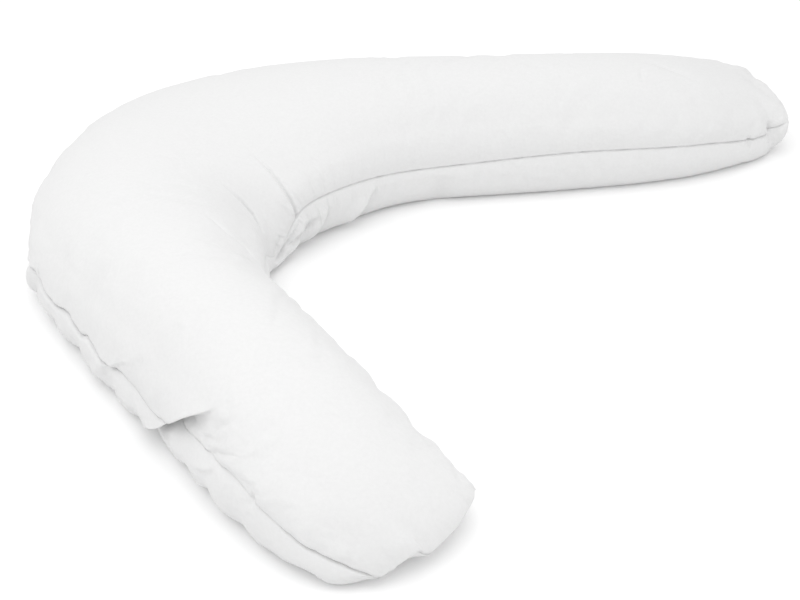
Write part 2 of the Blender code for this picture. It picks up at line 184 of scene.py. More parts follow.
def lay_cloth(along, across, low):
    """Points on the smooth pillow.

    along is in metres down the middle line, across runs from -1 at the inner seam to +1 at
    the outer one, and low is true on the bottom panel.
    """
    side = np.sin(math.pi / 2 * across)
    reach = np.abs(side)
    from_near = along
    from_far = LENGTH - along
    place = along
    heel = 1.0
    for end, distance, inward in ((0, from_near, 1), (1, from_far, -1)):
        bow = END_BOW[end]
        fade = np.clip(1 - distance / END_BOW_REACH, 0, 1)**2
        heel_share = np.clip(distance / HEEL_REACH, 0, 1)
        end_drop = (1 - (1 - heel_share)**2)**HEEL_ROUND[end]
        belly = END_BELLY * np.sin(math.pi * end_drop) * (1 - reach**BELLY_POWER)
        end_out = np.where(low, belly, 0)
        place = place + inward * (fade * (bow * reach**BOW_POWER + END_BELLY) - end_out)
        heel = heel * end_drop
    share = place / LENGTH

    width = np.where(side > 0, read_rows(SECTIONS, SECTION_COLUMNS, "outer", share),
                     read_rows(SECTIONS, SECTION_COLUMNS, "inner", share))
    crown = read_rows(SECTIONS, SECTION_COLUMNS, "crown", share)
    outer_part = (1 + side) / 2
    wander = read_rows(SEAM_WANDER, WANDER_COLUMNS, "rise", along)
    seam = (read_rows(SECTIONS, SECTION_COLUMNS, "seam_outer", share) + wander) * outer_part
    end_wander = read_rows(END_WANDER, END_WANDER_COLUMNS, "rise", across)
    seam = seam + end_wander * np.exp(-(from_near / END_WANDER_REACH)**2)
    crook_reach = np.where(along < CROOK_ALONG, *CROOK_REACH)
    dip = CROOK_DIP * np.exp(-((along - CROOK_ALONG) / crook_reach)**2)
    inner_seam = read_rows(SECTIONS, SECTION_COLUMNS, "seam_inner", share) - dip
    seam = seam + inner_seam * (1 - outer_part)

    # top panel: crowned across, and rising from both end seams
    rise = (1 - np.minimum(reach, 1)**CROWN_POWER)**CROWN_ROUND
    for distance, length in ((from_near, END_RISE[0]), (from_far, END_RISE[1])):
        rise = rise * (1 - (1 - np.clip(distance / length, 0, 1))**2)**END_ROUND
    top_height = seam + (crown - seam) * rise
    top_out = SWELL * np.sin(math.pi * np.clip(rise / SWELL_SHARE, 0, 1))

    # bottom panel: flat on the floor, turning up to the seam at its sides and ends
    turn = np.clip((reach - CONTACT) / (1 - CONTACT), 0, 1)
    drop = heel * np.sqrt(1 - turn**2)
    low_height = seam * (1 - drop)
    low_out = BELLY * np.sin(math.pi / 2 * drop) * reach**BELLY_POWER

    x, y, heading = middle_line(share)
    out = side * width + np.sign(side) * np.where(low, low_out, top_out)
    height = np.where(low, low_height, top_height)
    return np.stack([x - out * np.sin(heading), y + out * np.cos(heading), height], axis=-1)


# ---- the large tuck across the near arm's outer seam: the cloth on its bend side is lapped
# over the cloth on its tip side, which is pushed in under it
TUCK_ALONG = 0.342      # where it crosses the seam
TUCK_SPREAD = 0.30      # how far along the arm the rows of cloth lean to follow it
TUCK_DEPTH = 0.019      # how far the cloth under it is pushed in
TUCK_REACH = 0.038      # how far along the arm that push reaches
TUCK_LIP = 0.004        # how far the cloth over it stands proud
TUCK_OVER = 0.008       # how far along the lip hangs over
TUCK_UNDER = 0.018      # how far along the cloth under it runs in beneath the lip
TUCK_TURN = 0.015       # how far along the arm the cloth is drawn into the tuck
TUCK_HEM = 0.004        # half the cloth between the lip and the cloth under it
TUCK_GAP = 0.008        # how much deeper the cloth is pushed in right under the lip
TUCK_GAP_REACH = 0.013  # how far along the arm that reaches
TUCK_GAP_MIDDLE = 1.03  # where round the pillow the gap is widest
TUCK_GAP_SPREAD = 0.16  # how far round it narrows
# around: 0 in the middle of the top, 1 at the outer seam, 2 under the middle;
# along: where the tuck's edge is; fullness: its share of the full depth.
TUCK_COLUMNS = ("around", "along", "fullness")
TUCK = (
    (-0.60, 0.342, 0.0),
    (0.10, 0.285, 0.0),
    (0.58, 0.256, 0.0),
    (0.78, 0.292, 0.9),
    (1.00, 0.336, 1.0),
    (1.22, 0.402, 1.0),
    (1.42, 0.424, 0.8),
    (1.75, 0.430, 0.0),
    (2.60, 0.342, 0.0),
)


def draw_tuck(along, across, low):
    """Where the large tuck takes the rows of cloth.

    Returns where each point lies along the arm once its row leans to follow the tuck, where
    it lies once the cloth is lapped as well, and how far the tuck then lifts it.
    """
    around = np.where(low, 2 - across, across)
    past = along - TUCK_ALONG
    fullness = np.maximum(read_rows(TUCK, TUCK_COLUMNS, "fullness", around), 0)
    edge = read_rows(TUCK, TUCK_COLUMNS, "along", around)
    lean = (edge - TUCK_ALONG) * np.clip(1 - (past / TUCK_SPREAD)**2, 0, 1)**2
    side = np.sin(math.pi / 2 * across)
    off_floor = np.where(low, np.clip((side - CONTACT) / (1 - CONTACT), 0, 1), 1)
    roll = np.clip(past / TUCK_HEM, -1, 1)
    swing = np.sin(math.pi / 2 * roll)
    beyond = np.maximum(np.abs(past) - TUCK_HEM, 0)
    shift = ((1 - swing) * TUCK_UNDER - (1 + swing) * TUCK_OVER) / 2
    shift = shift * np.exp(-beyond / TUCK_TURN) * fullness * off_floor
    lift = ((1 + roll) * TUCK_LIP - (1 - roll) * TUCK_DEPTH) / 2
    gap = TUCK_GAP * np.exp(-((around - TUCK_GAP_MIDDLE) / TUCK_GAP_SPREAD)**2)
    lift = lift * np.exp(-beyond / TUCK_REACH)
    lift = lift - (1 - roll) / 2 * gap * np.exp(-(beyond / TUCK_GAP_REACH)**2)
    lift = lift * fullness
    return along + lean, along + lean + shift, lift


# ---- folds and creases in the cloth.  route: places the fold runs through, each with its
# metres along and its place around the pillow, where 0 is the middle of the top, 1 the outer
# seam, -1 the inner seam, and past 1 the side below the seam.  width: how wide it is to one
# side; depth: how deep it is pressed, or if less than nothing, how high it stands; fade:
# whether the depth "holds", "dies" out along the route or "swells" in its middle; raised: 0
# for a trough, 1 or -1 for a small tuck with the cloth on its left or right raised.
Fold = namedtuple("Fold", "route width depth fade raised")
BROAD_FOLDS = (
    # the dent beside the large tuck
    Fold(((0.270, 0.88), (0.200, 0.72), (0.150, 0.66)), 0.030, 0.005, "dies", 0),
    # two smaller tucks further up the same seam
    Fold(((0.530, 1.36), (0.478, 1.03), (0.443, 0.90)), 0.014, 0.006, "dies", 1),
    Fold(((0.690, 1.30), (0.680, 1.02), (0.650, 0.86)), 0.018, 0.014, "dies", 1),
    # puckers that gather the side of the near arm below the seam
    Fold(((0.645, 1.36), (0.622, 1.04)), 0.014, 0.007, "dies", 0),
    Fold(((0.590, 1.36), (0.556, 1.04)), 0.012, 0.007, "dies", 0),
    Fold(((0.485, 1.36), (0.460, 1.10)), 0.012, 0.008, "dies", 0),
    Fold(((0.422, 1.36), (0.398, 1.08)), 0.013, 0.010, "dies", 0),
    Fold(((0.308, 1.36), (0.284, 1.12)), 0.014, 0.009, "dies", 0),
    Fold(((0.255, 1.36), (0.236, 1.10)), 0.014, 0.010, "dies", 0),
    Fold(((0.190, 1.36), (0.170, 1.10)), 0.016, 0.005, "dies", 0),
    Fold(((0.140, 1.36), (0.125, 1.10)), 0.016, 0.003, "dies", 0),
    Fold(((0.095, 1.36), (0.083, 1.10)), 0.022, 0.006, "dies", 0),
    # the near end: soft dents on top, a tuck in the end seam, notches on the inner edge
    Fold(((0.085, 0.72), (0.050, 0.60), (0.030, 0.52)), 0.022, 0.005, "swells", 0),
    Fold(((-0.005, 0.20), (0.030, 0.27)), 0.010, 0.0015, "dies", 1),
    Fold(((0.215, -0.95), (0.185, -0.60), (0.165, -0.40)), 0.016, 0.005, "dies", 0),
    Fold(((0.130, -0.98), (0.115, -0.70), (0.110, -0.50)), 0.016, 0.005, "dies", 0),
    # folds under the seam in the crook and along the far arm
    Fold(((0.940, -1.06), (0.900, -1.18), (0.870, -1.36)), 0.012, 0.010, "swells", -1),
    Fold(((1.050, -1.06), (1.000, -1.18), (0.960, -1.36)), 0.014, 0.011, "swells", -1),
    Fold(((1.200, -1.06), (1.150, -1.22), (1.110, -1.36)), 0.014, 0.013, "swells", -1),
    Fold(((1.330, -1.06), (1.310, -1.36)), 0.018, 0.006, "swells", 0),
    # the far end: a pucker across the seam, and the far corner, which stands up with a dent
    # beside it
    Fold(((1.868, -1.25), (1.864, -0.95), (1.856, -0.55), (1.842, -0.38)), 0.014, 0.010, "dies", 0),
    Fold(((1.902, 0.66), (1.866, 0.54)), 0.018, -0.004, "swells", 0),
    Fold(((1.905, 0.40), (1.868, 0.32)), 0.014, 0.005, "swells", 0),
    Fold(((1.852, 0.26), (1.868, 0.00), (1.885, -0.32)), 0.018, 0.007, "swells", 0),
)
FINE_FOLDS = (
    # creases that run up over the crown from the crook
    Fold(((0.900, -0.98), (0.893, -0.78), (0.905, -0.52), (0.908, -0.36)),
         0.0023, 0.0047, "dies", 0),
    Fold(((0.690, -0.80), (0.755, -0.66), (0.765, -0.55), (0.772, -0.40)),
         0.0025, 0.0055, "swells", 0),
    Fold(((0.495, -0.73), (0.530, -0.61), (0.542, -0.45), (0.590, -0.30)),
         0.0040, 0.0025, "swells", 0),
    Fold(((0.495, -0.73), (0.492, -0.48)), 0.0040, 0.0020, "swells", 0),
    # folds that fan out from the bottom of the crook
    Fold(((0.910, -1.03), (0.878, -1.06), (0.825, -1.04), (0.780, -1.06), (0.720, -1.12)),
         0.0036, 0.0085, "swells", 0),
    Fold(((1.000, -1.09), (0.945, -1.12), (0.900, -1.13), (0.855, -1.11), (0.815, -1.07)),
         0.0042, 0.0085, "swells", 0),
    Fold(((0.820, -0.87), (0.792, -0.92), (0.770, -0.98)), 0.0032, 0.0045, "swells", 0),
    # the sharp edges of the folds under the far arm's seam
    Fold(((1.060, -1.05), (1.010, -1.17), (0.970, -1.32)), 0.0050, 0.0070, "swells", -1),
    Fold(((1.205, -1.04), (1.155, -1.20), (1.115, -1.34)), 0.0055, 0.0080, "swells", -1),
    # the sharp edges of the smaller tucks on the outer side
    Fold(((0.495, 1.10), (0.475, 1.02), (0.450, 0.91), (0.420, 0.80)), 0.0040, 0.0030, "swells", 1),
    Fold(((0.712, 1.08), (0.690, 1.00), (0.660, 0.87)), 0.0040, 0.0050, "dies", 1),
    # fine wrinkles that fan out from under the large tuck
    Fold(((0.262, 0.90), (0.250, 0.83), (0.220, 0.67)), 0.0060, 0.0030, "dies", 0),
    Fold(((0.240, 0.97), (0.188, 0.64)), 0.0065, 0.0030, "dies", 0),
    Fold(((0.244, 0.70), (0.215, 0.50)), 0.0060, 0.0022, "dies", 0),
    Fold(((0.203, 1.00), (0.152, 0.81)), 0.0080, 0.0025, "dies", 0),
    Fold(((0.155, 0.86), (0.158, 1.06)), 0.0040, 0.0030, "swells", 0),
    Fold(((0.270, 1.12), (0.238, 1.07), (0.220, 1.02)), 0.0060, 0.0040, "swells", 1),
    # the far end: a long shallow crease, a short one, and the pucker's sharp middle
    Fold(((1.650, 0.05), (1.685, -0.09), (1.718, -0.22), (1.745, -0.23)),
         0.0060, 0.0025, "swells", 0),
    Fold(((1.641, -0.12), (1.633, -0.30)), 0.0050, 0.0015, "swells", 0),
    Fold(((1.858, -1.16), (1.858, -0.97), (1.856, -0.68)), 0.0050, 0.0060, "swells", 0),
    Fold(((1.808, -1.10), (1.804, -0.90)), 0.0045, 0.0040, "swells", 0),
)
FOLD_STEP = 0.010       # a fold is measured from points this far apart
FOLD_REACH = 3          # a fold is no longer felt this many widths away
AROUND_SCALE = 0.17     # metres of cloth from the middle of a panel to its seam
LAP_PEAK = 0.429        # height of the curve that raises one side of a small tuck


def fold_line(route):
    """A fold's route over the smooth pillow, as points and their share of the route."""
    route = np.array(route)
    steps = np.diff(route, axis=0) * np.array([1.0, AROUND_SCALE])
    knots = np.concatenate([[0.0], np.cumsum(np.hypot(steps[:, 0], steps[:, 1]))])
    samples = math.ceil(knots[-1] / FOLD_STEP) + 1
    knots /= knots[-1]
    share = np.linspace(0.0, 1.0, samples)
    along = np.interp(share, knots, route[:, 0])
    around = np.interp(share, knots, route[:, 1])
    low = np.abs(around) > 1
    across = np.where(low, np.sign(around) * (2 - np.abs(around)), around)
    return lay_cloth(along, across, low), share


def press_folds(points, normals, folds):
    """How far each point is moved along its normal by the folds."""
    lift = np.zeros(len(points))
    for fold in folds:
        line, line_share = fold_line(fold.route)
        low_corner = line.min(axis=0) - FOLD_REACH * fold.width
        high_corner = line.max(axis=0) + FOLD_REACH * fold.width
        near = np.flatnonzero(((points > low_corner) & (points < high_corner)).all(axis=1))
        nearest = np.full(len(near), np.inf)
        share = np.zeros(len(near))
        side = np.zeros(len(near))
        for step in range(len(line) - 1):
            run = line[step + 1] - line[step]
            t = np.clip((points[near] - line[step]) @ run / (run @ run), 0, 1)
            away = points[near] - line[step] - t[:, None] * run
            distance = np.linalg.norm(away, axis=1)
            closer = distance < nearest
            nearest[closer] = distance[closer]
            step_share = line_share[step + 1] - line_share[step]
            share[closer] = (line_share[step] + t * step_share)[closer]
            left = np.cross(normals[near], run)
            side[closer] = np.sign(np.einsum("ij,ij->i", left, away))[closer]
        depth = np.full(len(near), fold.depth)
        if fold.fade == "dies":
            depth = depth * (1 - share**2)
        if fold.fade == "swells":
            depth = depth * np.sin(math.pi * share)
        widths = nearest / fold.width
        if fold.raised:
            lift[near] += depth / 2 * side * fold.raised * widths * np.exp(-widths**2) / LAP_PEAK
        else:
            lift[near] -= depth * np.exp(-widths**2)
    return lift


# ---- the cloth itself: each panel starts as a flat grid, with its rows closer together at
# the seams, the ends and the large tuck
MARKS = ("along", "across", "low")  # what each point of the cloth is marked with
MERGE = 0.00001         # the rims of the two panels coincide
MARK_DIGITS = 6         # a point's place on its panel is read back this exactly
LOW_MARK = 0.1          # a point marked with more than this is on the bottom panel
ROW_BLEND = 0.08        # the bottom panel's rows move to their places this far from the ends
CROWD_SAMPLES = 8000    # points that the crowding of the rows is worked out at


def crowded(steps, start, end, crowds):
    """Places from start to end, closer together round each crowd (place, reach, extra)."""
    fine = np.linspace(start, end, CROWD_SAMPLES)
    density = np.ones(len(fine))
    for place, reach, extra in crowds:
        density += extra * np.exp(-((fine - place) / reach)**2)
    travel = np.concatenate([[0.0], np.cumsum((density[1:] + density[:-1]) / 2)])
    return np.interp(np.linspace(0.0, travel[-1], steps + 1), travel, fine)


def cut_panel(mesh, along_places, end_places, middle_places, low):
    """Add one panel as a grid, each point marked with its place on the panel.

    Its places across change from end_places at both ends to middle_places between them.
    """
    steps_along, steps_across = len(along_places) - 1, len(end_places) - 1
    grid = bmesh.ops.create_grid(mesh, x_segments=steps_along, y_segments=steps_across, size=1.0)
    marks = [mesh.verts.layers.float[name] for name in MARKS]
    for vert in grid["verts"]:
        along = along_places[round((vert.co.x + 1) / 2 * steps_along)]
        row = round((vert.co.y + 1) / 2 * steps_across)
        share = min(along, LENGTH - along, ROW_BLEND) / ROW_BLEND
        vert[marks[0]] = along
        vert[marks[1]] = end_places[row] + (middle_places[row] - end_places[row]) * share
        vert[marks[2]] = low


def read_marks(mesh):
    """Each point's place: metres along, place across, and whether it's on the bottom panel."""
    marks = [mesh.verts.layers.float[name] for name in MARKS]
    places = np.array([[vert[mark] for mark in marks] for vert in mesh.verts]).round(MARK_DIGITS)
    return places[:, 0], places[:, 1], places[:, 2] > LOW_MARK


def on_rim(along, across):
    """Whether a place on a panel is on its sewn edge."""
    return (np.abs(across) > 1 - MERGE) | (np.minimum(along, LENGTH - along) < MERGE)


def move_points(mesh, points):
    """Put every point of the cloth in its new place."""
    for vert, point in zip(mesh.verts, points):
        vert.co = point


def place_cloth(mesh):
    """Lay every point of the panels on the smooth pillow."""
    along, across, low = read_marks(mesh)
    move_points(mesh, lay_cloth(draw_tuck(along, across, low)[0], across, low))


def sew_panels(along_places, top_places, low_places):
    """Lay both panels on the smooth pillow and sew their rims together."""
    mesh = bmesh.new()
    for name in MARKS:
        mesh.verts.layers.float.new(name)
    cut_panel(mesh, along_places, top_places, top_places, 0.0)
    cut_panel(mesh, along_places, top_places, low_places, 1.0)
    place_cloth(mesh)
    bmesh.ops.remove_doubles(mesh, verts=mesh.verts, dist=MERGE)
    along, across, low = (mesh.verts.layers.float[name] for name in MARKS)
    for vert in mesh.verts:
        if on_rim(vert[along], vert[across]):
            vert[low] = 0.0
    bmesh.ops.recalc_face_normals(mesh, faces=mesh.faces)
    if mesh.calc_volume(signed=True) < 0:
        bmesh.ops.reverse_faces(mesh, faces=mesh.faces)
    mesh.normal_update()
    return mesh


# ---- wrinkles: a coarser copy of the two panels is cut a little too large, gathered at the
# seam and blown up, and the small waves that come up in its cloth are kept
SIM_STEPS = (236, 46)   # cells of cloth along and across each of its panels
SIM_FRAMES = 20         # how long it is blown up for
SIM_PRESSURE = 4.0      # and how hard
SIM_START = 0.004       # how far inside the pillow's surface the copy starts
SIM_SLACK = 0.025       # share that the panels are cut too large
SIM_GATHER = 0.02       # share that the seam is gathered
SIM_QUALITY = 5         # steps to a frame
SIM_SMOOTH = 2.5        # waves much longer than this many cells are left out
SMOOTH_REACH = 3        # a point is compared with the cloth this many times as far round it
WRINKLE_CAP = 0.0010    # the most that a wave moves the cloth
PRESSED_ALONG = 0.10    # the cloth is pressed smooth of waves this far along from the crook
PRESSED_ACROSS = 0.35   # and this far in from its seam, as a share of a panel's half width


def simulate_wrinkles():
    """Waves of the blown-up cloth on the top and the bottom panel, as grids of heights."""
    along_places = np.linspace(0.0, LENGTH, SIM_STEPS[0] + 1)
    across_places = np.linspace(-1.0, 1.0, SIM_STEPS[1] + 1)
    mesh = sew_panels(along_places, across_places, across_places)
    along, across, low = read_marks(mesh)
    start = np.array([vert.co[:] for vert in mesh.verts])
    normals = np.array([vert.normal[:] for vert in mesh.verts])
    move_points(mesh, start - SIM_START * normals)
    data = bpy.data.meshes.new("wrinkle_cloth")
    mesh.to_mesh(data)
    mesh.free()
    cloth_object = bpy.data.objects.new("wrinkle_cloth", data)
    bpy.context.scene.collection.objects.link(cloth_object)

    base = cloth_object.vertex_groups.new(name="base")
    on_base = low & (np.abs(np.sin(math.pi / 2 * across)) < CONTACT)
    on_base &= np.minimum(along, LENGTH - along) > HEEL_REACH
    base.add([int(index) for index in np.flatnonzero(on_base)], 1.0, "REPLACE")
    rim = cloth_object.vertex_groups.new(name="rim")
    rim.add([int(index) for index in np.flatnonzero(on_rim(along, across))], 1.0, "REPLACE")

    cloth = cloth_object.modifiers.new("cloth", "CLOTH")
    cloth.settings.vertex_group_mass = "base"
    cloth.settings.use_pressure = True
    cloth.settings.uniform_pressure_force = SIM_PRESSURE
    cloth.settings.shrink_min = -SIM_SLACK
    cloth.settings.shrink_max = SIM_GATHER
    cloth.settings.vertex_group_shrink = "rim"
    cloth.settings.effector_weights.gravity = 0.0
    cloth.settings.quality = SIM_QUALITY
    scene = bpy.context.scene
    for step in range(1, SIM_FRAMES + 1):
        scene.frame_set(step)
    blown = cloth_object.evaluated_get(bpy.context.evaluated_depsgraph_get()).to_mesh()
    moved = np.array([vert.co[:] for vert in blown.vertices]) - start
    scene.frame_set(1)
    height = np.einsum("ij,ij->i", moved, normals)
    bpy.data.objects.remove(cloth_object, do_unlink=True)

    # put the heights back on the panels' grids, and keep only the short waves
    row = np.rint(along / LENGTH * SIM_STEPS[0]).astype(int)
    column = np.rint((across + 1) / 2 * SIM_STEPS[1]).astype(int)
    grids = []
    for panel_low in (False, True):
        grid = np.zeros((SIM_STEPS[0] + 1, SIM_STEPS[1] + 1))
        here = (low == panel_low) | on_rim(along, across)
        grid[row[here], column[here]] = height[here]
        reach = math.ceil(SMOOTH_REACH * SIM_SMOOTH)
        weights = np.exp(-(np.arange(-reach, reach + 1) / SIM_SMOOTH)**2 / 2)
        weights /= weights.sum()
        smooth = np.pad(grid, reach, mode="reflect", reflect_type="odd")
        smooth = np.apply_along_axis(np.convolve, 0, smooth, weights, mode="valid")
        smooth = np.apply_along_axis(np.convolve, 1, smooth, weights, mode="valid")
        waves = grid - smooth
        grids.append(WRINKLE_CAP * np.tanh(waves / WRINKLE_CAP))
    return grids


def read_waves(grid, along, across):
    """Heights of the waves at places on a panel, on smooth curves between the grid's points."""
    heights = np.zeros(len(along))
    cells = []
    curves = []
    for share, steps in zip((along / LENGTH, (across + 1) / 2), SIM_STEPS):
        place = share * steps
        cell = np.clip(np.floor(place).astype(int), 0, steps - 1)
        t = place - cell
        cells.append(cell)
        curves.append((-t + 2 * t**2 - t**3, 2 - 5 * t**2 + 3 * t**3,
                       t + 4 * t**2 - 3 * t**3, t**3 - t**2))
    for row in range(4):
        for column in range(4):
            i = np.clip(cells[0] + row - 1, 0, SIM_STEPS[0])
            j = np.clip(cells[1] + column - 1, 0, SIM_STEPS[1])
            heights += curves[0][row] * curves[1][column] / 4 * grid[i, j]
    return heights


# ---- the seam: the two panels meet in a narrow groove, drawn in by the stitches.  On the
# outside of the bend the bottom panel puffs up against the top one.
SEAM_DEPTH = 0.0030     # how deep the groove is
SEAM_WIDTH = 0.0013     # how wide it is to one side
SEAM_UNEVEN = 0.3       # share of its depth that comes and goes with the stitches
SEAM_LENGTHS = (0.047, 0.029)   # metres of seam over which it does
SEAM_DRIFT = (3.0, 17.0)        # how much those lengths change, and how quickly
SEAM_REACH = 0.06       # cloth further in than this doesn't feel the seam
LOW_REACH = 0.005       # how far below the seam the cloth is drawn in where the top hangs over
LIP_REACH = 0.0025      # how far above it
LIP_SHARE = 0.3         # how far the top bulges out over it, as a share of that
PUFF_REACH = 0.006      # how far from the seam the bottom panel stands up highest where it puffs
PUFF_OUT = 0.5          # how far it bulges out there, as a share of how far it stands up
CORNER_REACH = 0.015    # the groove is shallower this near to a corner
CROOK_SEAM = 0.75       # and here on the inner side, where the two arms press it shut
CROOK_HIDE = 0.14       # for this far either way
SHUT_SHARE = 0.9        # share of its depth that it loses at both
GATHER_REACH = 0.016    # how far from the seam the gathers reach
GATHER_HEIGHT = 0.0003  # how high they stand
GATHER_LENGTHS = (0.031, 0.019, 0.013)
GATHER_DRIFT = (5.0, 9.0)       # how much those lengths change, and how quickly
GATHER_LINE = (1.3, 1.7)        # they are counted along this direction in plan
# wide: how far the cloth either side is drawn in with it; puff: how high the bottom panel
# puffs up against it; groove and breadth: the groove's depth and width there, as shares of
# those above.
SEAM_COLUMNS = ("along", "wide", "puff", "groove", "breadth")
OUTER_SEAM = (
    (0.000, 0.000, 0.000, 1.5, 1.0),
    (0.090, 0.000, 0.000, 1.5, 1.0),
    (0.140, 0.000, 0.000, 0.6, 1.0),
    (0.330, 0.001, 0.000, 0.6, 1.0),
    (0.450, 0.001, 0.000, 0.9, 1.0),
    (0.480, 0.002, 0.003, 1.2, 1.2),
    (0.510, 0.002, 0.006, 3.0, 2.8),
    (0.660, 0.002, 0.006, 3.0, 2.8),
    (0.690, 0.001, 0.002, 1.6, 1.2),
    (0.730, 0.000, 0.000, 1.0, 1.0),
)
END_COLUMNS = ("across", "wide", "groove")
NEAR_END_SEAM = (
    (-1.00, 0.000, 0.3),
    (-0.10, 0.000, 0.3),
    (0.12, 0.001, 0.6),
    (0.30, 0.003, 1.2),
    (0.60, 0.002, 1.2),
    (0.85, 0.000, 1.0),
    (1.00, 0.000, 1.0),
)


def count_waves(run, lengths, drift):
    """Waves of these lengths along a run of metres, drifting so that they never repeat."""
    waves = 0
    for length in lengths:
        waves = waves + np.sin(run / length * 2 * math.pi + drift[0] * np.sin(run * drift[1]))
    return waves


def find_rim(points, rim):
    """A search tree of the points on the panels' sewn edge."""
    tree = kdtree.KDTree(int(rim.sum()))
    for index in np.flatnonzero(rim):
        tree.insert(points[index], int(index))
    tree.balance()
    return tree


def stitch_seam(points, along, across, low, rim):
    """How far the seam draws each point in, and how far it moves it up."""
    tree = find_rim(points, rim)
    draw = np.zeros(len(points))
    lift = np.zeros(len(points))
    from_side = (1 - np.abs(across)) * AROUND_SCALE
    from_end = np.minimum(along, LENGTH - along)
    near = np.flatnonzero(np.minimum(from_end, from_side) < SEAM_REACH)
    found = [tree.find(points[index])[1:] for index in near]
    home = np.array([index for index, distance in found])
    distance = np.array([distance for index, distance in found])
    at_side = np.abs(across[home]) > 1 - MERGE
    at_outer = at_side & (across[home] > 0)
    at_inner = at_side & (across[home] < 0)
    at_near_end = ~at_side & (along[home] < MERGE)
    wide = np.where(at_outer, read_rows(OUTER_SEAM, SEAM_COLUMNS, "wide", along[home]), 0)
    wide = np.where(at_near_end, read_rows(NEAR_END_SEAM, END_COLUMNS, "wide", across[home]), wide)
    puff = np.where(at_outer, read_rows(OUTER_SEAM, SEAM_COLUMNS, "puff", along[home]), 0)
    corner = np.hypot(from_end[home], from_side[home])
    depth = SEAM_DEPTH * (1 - SHUT_SHARE * np.exp(-(corner / CORNER_REACH)**2))
    hidden = np.exp(-((along[home] - CROOK_SEAM) / CROOK_HIDE)**4)
    depth = depth * np.where(at_inner, 1 - SHUT_SHARE * hidden, 1)
    side_groove = read_rows(OUTER_SEAM, SEAM_COLUMNS, "groove", along[home])
    depth = depth * np.where(at_outer, side_groove, 1)
    end_groove = read_rows(NEAR_END_SEAM, END_COLUMNS, "groove", across[home])
    depth = depth * np.where(at_near_end, end_groove, 1)
    beat = count_waves(along[home], SEAM_LENGTHS, SEAM_DRIFT)
    depth = depth * (1 + SEAM_UNEVEN * beat / len(SEAM_LENGTHS))
    breadth = np.where(at_outer, read_rows(OUTER_SEAM, SEAM_COLUMNS, "breadth", along[home]), 1)
    draw[near] = depth * np.exp(-(distance / SEAM_WIDTH / breadth)**2)
    draw[near] += wide * np.exp(-(distance / np.where(low[near], LOW_REACH, LIP_REACH))**2)
    lip = distance / LIP_REACH / 2
    draw[near] -= np.where(low[near], 0, LIP_SHARE * np.maximum(wide, 0)) * lip * np.exp(1 - lip)
    swell = distance / PUFF_REACH * np.exp(1 - distance / PUFF_REACH)
    draw[near] -= puff * swell * np.where(low[near], PUFF_OUT, LIP_SHARE)
    lift[near] = np.where(low[near], puff * swell, 0)

    # small gathers either side of the stitches
    run = points[home][:, 0] * GATHER_LINE[0] + points[home][:, 1] * GATHER_LINE[1]
    ripple = count_waves(run, GATHER_LENGTHS, GATHER_DRIFT)
    shape = distance / GATHER_REACH * np.exp(1 - distance / GATHER_REACH)
    draw[near] -= GATHER_HEIGHT * ripple * shape
    return draw, lift


# ---- the finished cover: the rows are cut, the folds pressed in, the seam stitched and the
# waves added, all measured from the smooth pillow
LEVEL_REACH = 0.06      # how far in from the seam a fold moves the bottom panel
STEPS_ALONG = 430       # cells of cloth along each panel
STEPS_ACROSS = 84       # and across it
# place: where rows are crowded; reach: how far either way; extra: how many more there are.
ALONG_CROWDS = (
    (0.0, 0.03, 1.5),
    (0.0, 0.004, 8.0),
    (TUCK_ALONG, 0.09, 0.6),
    (TUCK_ALONG, 0.012, 6.0),
    (LENGTH, 0.03, 1.5),
    (LENGTH, 0.004, 8.0),
)
TOP_CROWDS = ((-1.0, 0.05, 4.0), (1.0, 0.05, 4.0))
LOW_CROWDS = ((-1.0, 0.03, 24.0), (1.0, 0.03, 24.0), (-0.86, 0.14, 4.0), (0.86, 0.14, 4.0))
CREASE_REACHES = (0.012, 0.007, 0.004)  # the cloth is cut finer each time, this near a fine fold
LIP_HEMS = 3            # how far from its edge the large tuck's lips are rounded off, in hems
LIP_FULLNESS = 0.01     # where the tuck is fuller than this
LIP_ROUNDS = 2          # how many times
LIP_FACTOR = 0.5        # how far towards its neighbours each point moves, as a share
FLOOR_LEVEL = 0.0002    # cloth lower than this lies on the floor
FLAT_ANGLE = 0.5        # degrees that the faces of the flat base may differ by


def push_directions(points, normals, rim, low):
    """The way a fold moves each point: level at and under the seam, so the base stays flat."""
    level = normals * np.array([1.0, 1.0, 0.0])
    lengths = np.maximum(np.linalg.norm(level, axis=1), MERGE)[:, None]
    push = np.where(normals[:, 2:] > 0, normals, level)
    tree = find_rim(points * np.array([1.0, 1.0, 0.0]), rim)
    for index in np.flatnonzero(low | rim):
        home, distance = tree.find((*points[index, :2], 0.0))[1:]
        push[index] = level[home] / lengths[home] * math.exp(-(distance / LEVEL_REACH)**4)
    return push


mesh = sew_panels(crowded(STEPS_ALONG, 0.0, LENGTH, ALONG_CROWDS),
                  crowded(STEPS_ACROSS, -1.0, 1.0, TOP_CROWDS),
                  crowded(STEPS_ACROSS, -1.0, 1.0, LOW_CROWDS))

# cut the cloth finer along the fine folds, in the faces' own order, so that each run is alike
crease_points = np.concatenate([fold_line(fold.route)[0] for fold in FINE_FOLDS])
crease_tree = kdtree.KDTree(len(crease_points))
for index, point in enumerate(crease_points):
    crease_tree.insert(point, index)
crease_tree.balance()
for reach in CREASE_REACHES:
    mesh.faces.ensure_lookup_table()
    fine_faces = [face for face in mesh.faces
                  if crease_tree.find(face.calc_center_median())[2] < reach]
    fine_edges = list(dict.fromkeys(edge for face in fine_faces for edge in face.edges))
    bmesh.ops.subdivide_edges(mesh, edges=fine_edges, cuts=1, use_grid_fill=True)
    place_cloth(mesh)

